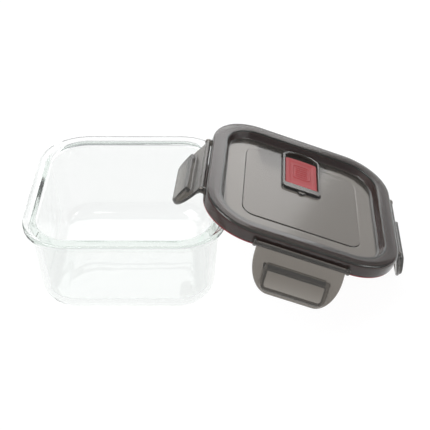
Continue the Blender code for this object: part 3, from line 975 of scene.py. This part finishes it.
@dataclass
class LockFlap:
    """One lock flap, shaped shut in its hinge's frame: x along the axis, y outwards, plate along -z."""

    side: str
    place: LidPlace
    half: float = 34 * MM
    length: float = 32.5 * MM
    foot: float = 17 * MM
    corner: float = 26 * MM
    thickness: float = 2.4 * MM
    barrel: float = 2 * MM
    edge: float = 0.9 * MM
    grip_top: float = 11.5 * MM
    grip_half: float = 26 * MM
    grip_foot: float = 19 * MM
    grip_corner: float = 8 * MM
    grip_height: float = 4.2 * MM
    grip_height_foot: float = 1.8 * MM
    grip_margin: float = 0.8 * MM
    grip_thinning: float = 1.7
    grip_side_ease: float = 1.6 * MM
    grip_foot_ease: float = 1.8 * MM
    step_above: float = 0.5 * MM
    step_below: float = 0.9 * MM
    scoop_depth: float = 0.35 * MM
    scoop_from: float = 3.2 * MM
    scoop_to: float = 0.6 * MM
    scoop_side: float = 3 * MM
    pocket_depth: float = 3.6 * MM
    pocket_wall: float = 3 * MM
    pocket_side_ease: float = 1.4 * MM
    pocket_foot_ease: float = 1.6 * MM
    pocket_top_ease: float = 1.2 * MM
    pocket_below_hook: float = 0.3 * MM
    hook_half: float = 22 * MM
    hook_drop: float = 10.4 * MM
    hook_reach: float = 5.5 * MM
    hook_thickness: float = 1.4 * MM
    hook_height: float = 4.6 * MM
    pin_radius: float = 1.3 * MM
    pin_reach: float = 2.8 * MM
    rows: int = 170
    columns: int = 150

    @staticmethod
    def half_width(z: np.ndarray, top: float, foot: float, corner: float, bottom: float) -> np.ndarray:
        """Half width at a height: straight sides, then an ellipse down to the straight foot."""
        t = np.clip((bottom + corner - z) / corner, 0, 1)
        return foot + (top - foot) * np.sqrt(1 - t * t)

    def grid(self) -> tuple[np.ndarray, np.ndarray]:
        """Places on the plate. Each row spans the outline at its height."""
        z = np.interp(bunched(self.rows, 0.35), [-1, 1], [self.barrel, -self.length])
        width = self.half_width(z, self.half, self.foot, self.corner, -self.length)
        x = width[:, None] * bunched(self.columns, 0.3)[None]
        return x, np.repeat(z[:, None], self.columns, 1)

    def edge_share(self, x: np.ndarray, z: np.ndarray) -> np.ndarray:
        """1 inside the plate, falling to 0 at its outline along a quarter circle."""
        width = self.half_width(z, self.half, self.foot, self.corner, -self.length)
        lean = np.clip((-self.length + self.corner - z) / self.corner, 0, 0.999)
        slope = (self.half - self.foot) / self.corner * lean / np.sqrt(1 - lean * lean)
        gap = (width - np.abs(x)) / np.sqrt(1 + slope * slope)
        gap = np.minimum(gap, z + self.length)
        t = np.clip(gap / self.edge, 0, 1)
        return np.sqrt(np.clip(1 - (1 - t) ** 2, 0, 1))

    def grip(self, x: np.ndarray, z: np.ndarray) -> np.ndarray:
        """Height of the grip: a block with a steep upper step that gets thinner towards the foot."""
        bottom = -self.length + self.grip_margin
        width = self.half_width(z, self.grip_half, self.grip_foot, self.grip_corner, bottom)
        share = np.clip((z + self.grip_top) / (bottom + self.grip_top), 0, 1)
        thinner = (self.grip_height_foot - self.grip_height) * share**self.grip_thinning
        height = self.grip_height + thinner
        top = -self.grip_top
        step = smooth_step(z, top + self.step_above, top - self.step_below)
        side = smooth_step(width - np.abs(x), 0, self.grip_side_ease)
        foot = smooth_step(z, bottom, bottom + self.grip_foot_ease)
        scoop = self.scoop_depth * smooth_step(z, top + self.scoop_from, top + self.scoop_to) * (1 - step)
        scoop = scoop * smooth_step(self.grip_half - np.abs(x), 0, self.scoop_side)
        return height * step * side * foot - scoop

    def back(self, x: np.ndarray, z: np.ndarray) -> np.ndarray:
        """How far the inner face stands out: the hook as a ridge, the finger pocket as a hollow."""
        across = smooth_step(self.hook_half - np.abs(x), -0.2 * MM, 0.5 * MM)
        down = -self.hook_drop - z
        rise = smooth_step(down, -0.15 * MM, 0.35 * MM)
        fall = np.clip((self.hook_height - down) / (self.hook_height - self.hook_thickness), 0, 1)
        ridge = self.hook_reach * across * rise * fall
        low = -self.length + self.pocket_wall
        high = -self.hook_drop - self.hook_height - self.pocket_below_hook
        width = self.grip_half - self.pocket_wall
        hollow = smooth_step(width - np.abs(x), 0, self.pocket_side_ease)
        hollow = hollow * smooth_step(z, low, low + self.pocket_foot_ease)
        hollow = hollow * smooth_step(z, high, high - self.pocket_top_ease)
        corner_cut = smooth_step(width - np.abs(x) + (z - low), 1.0 * MM, 5.0 * MM)
        return ridge - self.pocket_depth * hollow * corner_cut

    def make(self) -> bpy.types.Object:
        """Builds the flap at its hinge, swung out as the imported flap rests."""
        x, z = self.grid()
        round_part = np.sqrt(np.clip(self.barrel**2 - z * z, 0, None))
        plate = np.where(z < 0, self.thickness / 2, 0)
        share = self.edge_share(x, z)
        half = np.maximum(round_part, plate * share)
        front = half + self.grip(x, z) * share
        back = -half - self.back(x, z) * share
        flap = slab(f"fine_lock_flap_{self.side}", x, z, front, back)
        combine(flap, [self.pin(-1), self.pin(1)], "UNION")
        carry(flap, self.hinge_matrix())
        crease(flap, 50)
        flap.data.materials.clear()
        flap.data.materials.append(FLAP_FINISH.make())
        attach(flap, f"{self.side}_lock")
        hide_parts(f"lock_flap_{self.side}")
        return flap

    def pin(self, end: int) -> bpy.types.Object:
        """One moulded pin: a circle carried along x, with an eased end."""
        circle = full_circle(28)
        tip = self.half + self.pin_reach
        rings = []
        for x, radius in (
            (self.half - 1.5 * MM, self.pin_radius),
            (tip - 0.3 * MM, self.pin_radius),
            (tip, self.pin_radius - 0.3 * MM),
        ):
            rings.append(at_x(circle * radius, end * x))
        return closed_prism("pin", np.stack(rings))

    def hinge_matrix(self) -> Matrix:
        """Where the hinge lies, with the flap turned from shut to its rest angle.

        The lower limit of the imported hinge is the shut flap, so the rest angle is minus that limit.
        """
        hinge = Hinge.named(f"{self.side}_lock_hinge")
        up = self.place.matrix.to_3x3() @ Vector((0, 0, 1))
        out = up.cross(hinge.axis).normalized()
        basis = Matrix((hinge.axis, out, up)).transposed().to_4x4()
        swing = Matrix.Rotation(-np.radians(hinge.low), 4, "X")
        return Matrix.Translation(hinge.point) @ basis @ swing


@dataclass
class VentFlap:
    """The silicone vent flap, shaped in its hinge's frame: x along the axis, y to its far edge, z up."""

    place: LidPlace
    half: float = 13.6 * MM
    length: float = 38.4 * MM
    far_arch: float = 0.9 * MM
    thickness: float = 2 * MM
    edge: float = 0.7 * MM
    corner: float = 1.6 * MM
    panel_half: float = 7.4 * MM
    panel_middle: float = 20.5 * MM
    panel_length: float = 9.5 * MM
    mark_height: float = 0.3 * MM
    frame_squareness: int = 6
    frame_line: tuple[float, float] = (0.09, 0.03)
    rib_line: tuple[float, float] = (0.22, 0.1)
    rib_pitch: float = 3.1 * MM
    nub_radius: float = 2.6 * MM
    nub_length: float = 1.6 * MM
    nub_at: float = 20 * MM
    rows: int = 220
    columns: int = 150

    def marks(self, x: np.ndarray, y: np.ndarray) -> np.ndarray:
        """Raised marks: a rounded frame with short plain ribs inside it."""
        u, v = np.abs(x) / self.panel_half, np.abs(y - self.panel_middle) / self.panel_length
        reach = (u**self.frame_squareness + v**self.frame_squareness) ** (1 / self.frame_squareness)
        frame_line = smooth_step(np.abs(reach - 1), *self.frame_line)
        phase = (y - self.panel_middle) / self.rib_pitch
        rib = smooth_step(np.abs(phase - np.round(phase)), *self.rib_line)
        inside = smooth_step(np.abs(x), self.panel_half * 0.72, self.panel_half * 0.62)
        along = np.abs(y - self.panel_middle)
        inside = inside * smooth_step(along, self.panel_length * 0.86, self.panel_length * 0.78)
        return self.mark_height * np.maximum(frame_line, rib * inside)

    def make(self) -> bpy.types.Object:
        """Builds the vent flap where it lies, shut."""
        radius = self.thickness / 2
        y_row = np.interp(bunched(self.rows, 0.25), [-1, 1], [-radius, self.length])
        x = self.half * bunched(self.columns, 0.25)[None] * np.ones((self.rows, 1))
        far_end = smooth_step(y_row, self.length - 8 * MM, self.length)[:, None]
        bulge = self.far_arch * (1 - (x / self.half) ** 2) * far_end
        y = y_row[:, None] + bulge
        side = self.half - np.abs(x)
        far = self.length - y_row[:, None] + 0 * x
        near_round = np.sqrt(np.clip(radius**2 - np.clip(-y, 0, None) ** 2, 0, None)) / radius
        gap = np.minimum(side, far)
        both = np.clip(self.corner - np.minimum(side, self.corner), 0, None) ** 2
        both = both + np.clip(self.corner - np.minimum(far, self.corner), 0, None) ** 2
        in_corner = (side < self.corner) & (far < self.corner)
        gap = np.where(in_corner, self.corner - np.sqrt(both), gap)
        t = np.clip(gap / self.edge, 0, 1)
        share = np.sqrt(np.clip(1 - (1 - t) ** 2, 0.0, 1)) * near_round
        sag = 0.25 * MM * smooth_step(np.abs(x), self.half - 2.5 * MM, self.half - 5 * MM)
        sag = sag * smooth_step(y, 2 * MM, 5 * MM)
        sag = sag * smooth_step(y, self.length - 2.5 * MM, self.length - 5 * MM)
        top = (radius + self.marks(x, y) - sag) * share
        spot = np.sqrt(x * x + (y - self.nub_at) ** 2)
        nub = self.nub_length * smooth_step(spot, self.nub_radius, self.nub_radius - 0.5 * MM)
        bottom = -(radius + nub) * share
        flap = slab("fine_vent_flap", x, -y, top, bottom)
        carry(flap, self.hinge_matrix() @ Matrix(((1, 0, 0, 0), (0, 0, -1, 0), (0, 1, 0, 0), (0, 0, 0, 1))))
        crease(flap, 50)
        flap.data.materials.append(VENT_FINISH.make())
        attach(flap, "vent")
        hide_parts("vent_flap")
        return flap

    def hinge_matrix(self) -> Matrix:
        """The vent hinge's frame, level with the lid."""
        hinge = Hinge.named("vent_hinge")
        turn = self.place.matrix.to_3x3().to_4x4()
        return Matrix.Translation(hinge.point) @ turn


LID_FINISH = SmokyPlastic("smoky_lid", (0.41, 0.395, 0.37), (0.38, 0.365, 0.345), 0.93, (0.12, 0.17))
FLAP_FINISH = SmokyPlastic("smoky_flap", (0.46, 0.44, 0.41), (0.43, 0.41, 0.38), 0.86, (0.17, 0.21))
SEAL_FINISH = Silicone("seal_silicone", (0.34, 0.012, 0.018), (0.28, 0.008, 0.012))
VENT_FINISH = Silicone("vent_silicone", (0.36, 0.012, 0.018), (0.31, 0.009, 0.013))


# ---------------------------------------------------------------------------------------------------------
# Stage
# ---------------------------------------------------------------------------------------------------------


@dataclass
class Stage:
    """A plain pale floor, soft studio light and the camera."""

    lens: float = 75.3
    sensor: float = 36.0
    near_clip: float = 0.01
    camera_place: tuple[float, float, float] = (0.0685, -0.5670, 0.4700)
    pitch: float = 36.75
    turn: float = -0.2
    floor_half: float = 4.0
    floor_glow: float = 0.94
    floor_white: float = 0.10
    sky_low: tuple[float, float, float] = (0.20, 0.20, 0.21)
    sky_high: tuple[float, float, float] = (0.42, 0.43, 0.44)
    sky_high_at: float = 0.8
    bounces: int = 24

    def make_floor(self) -> None:
        """A wide white sheet that glows a little, under the box and curved up far behind it."""
        y = np.linspace(-self.floor_half, self.floor_half, 41)
        x = np.linspace(-self.floor_half, self.floor_half, 3)
        rise = 0.6 * np.clip(y - 2.0, 0, None) ** 2
        grid = np.stack(
            [np.repeat(x[None], 41, 0), np.repeat(y[:, None], 3, 1), np.repeat(rise[:, None], 3, 1)], 2
        )
        shell = Shell()
        shell.add_grid(grid, wrap_columns=False)
        floor = shell.build("studio_floor")
        material, shader = principled("studio_white")
        shader.inputs["Base Color"].default_value = (*(self.floor_white,) * 3, 1.0)
        shader.inputs["Roughness"].default_value = 0.9
        shader.inputs["Specular IOR Level"].default_value = 0.1
        shader.inputs["Emission Color"].default_value = (1.0, 1.0, 1.0, 1.0)
        shader.inputs["Emission Strength"].default_value = self.floor_glow
        floor.data.materials.append(material)
        if floor.data.polygons[0].normal.z < 0:
            floor.data.flip_normals()

    def make_light(self) -> None:
        """A grey surround that is lighter overhead, and three soft panels."""
        world = bpy.data.worlds.new("studio_air")
        world.use_nodes = True
        tree = world.node_tree
        background = tree.nodes["Background"]
        background.inputs["Strength"].default_value = 1.0
        place = tree.nodes.new("ShaderNodeTexCoord")
        height = tree.nodes.new("ShaderNodeSeparateXYZ")
        tree.links.new(place.outputs["Generated"], height.inputs["Vector"])
        rise = tree.nodes.new("ShaderNodeMapRange")
        rise.inputs["From Min"].default_value = 0.0
        rise.inputs["From Max"].default_value = self.sky_high_at
        tree.links.new(height.outputs["Z"], rise.inputs["Value"])
        colour = blend_colours(tree, rise.outputs["Result"], self.sky_low, self.sky_high)
        tree.links.new(colour, background.inputs["Color"])
        bpy.context.scene.world = world
        for name, place, aim, size, power in (
            ("key_panel", (-0.7, -0.3, 1.3), (0.05, 0, 0.05), 0.9, 11.0),
            ("back_panel", (0.2, 1.2, 0.9), (0.05, 0, 0.05), 1.2, 8.0),
            ("right_panel", (1.3, -0.2, 0.8), (0.1, 0, 0.05), 0.6, 4.0),
        ):
            lamp = bpy.data.lights.new(name, "AREA")
            lamp.shape = "SQUARE"
            lamp.size = size
            lamp.energy = power
            holder = bpy.data.objects.new(name, lamp)
            bpy.context.collection.objects.link(holder)
            holder.location = place
            holder.rotation_euler = (Vector(aim) - Vector(place)).to_track_quat("-Z", "Y").to_euler()

    def make_camera(self) -> None:
        """The camera, a little above the lid and in front of the box."""
        camera = bpy.data.cameras.new("camera")
        camera.lens = self.lens
        camera.sensor_width = self.sensor
        camera.clip_start = self.near_clip
        holder = bpy.data.objects.new("camera", camera)
        bpy.context.collection.objects.link(holder)
        holder.location = self.camera_place
        holder.rotation_euler = (np.radians(90 - self.pitch), 0, np.radians(-self.turn))
        bpy.context.scene.camera = holder

    def make(self) -> None:
        """Builds the stage."""
        self.make_floor()
        self.make_light()
        self.make_camera()
        scene = bpy.context.scene
        scene.view_settings.view_transform = "Standard"
        scene.cycles.max_bounces = self.bounces
        scene.cycles.transmission_bounces = self.bounces
        scene.cycles.glossy_bounces = self.bounces


def main() -> None:
    """Builds every piece in order."""
    logging.basicConfig(level=logging.INFO)
    place = LidPlace()
    pieces = [GlassBox().make(), LidShell(place).make(), SealRing(place).make()]
    pieces += [LockFlap(side, place).make() for side in ("front", "back", "left", "right")]
    pieces.append(VentFlap(place).make())
    for piece in pieces:
        LOG.info("%s: %d faces", piece.name, len(piece.data.polygons))
    Stage().make()


if __name__ == "__main__":
    main()
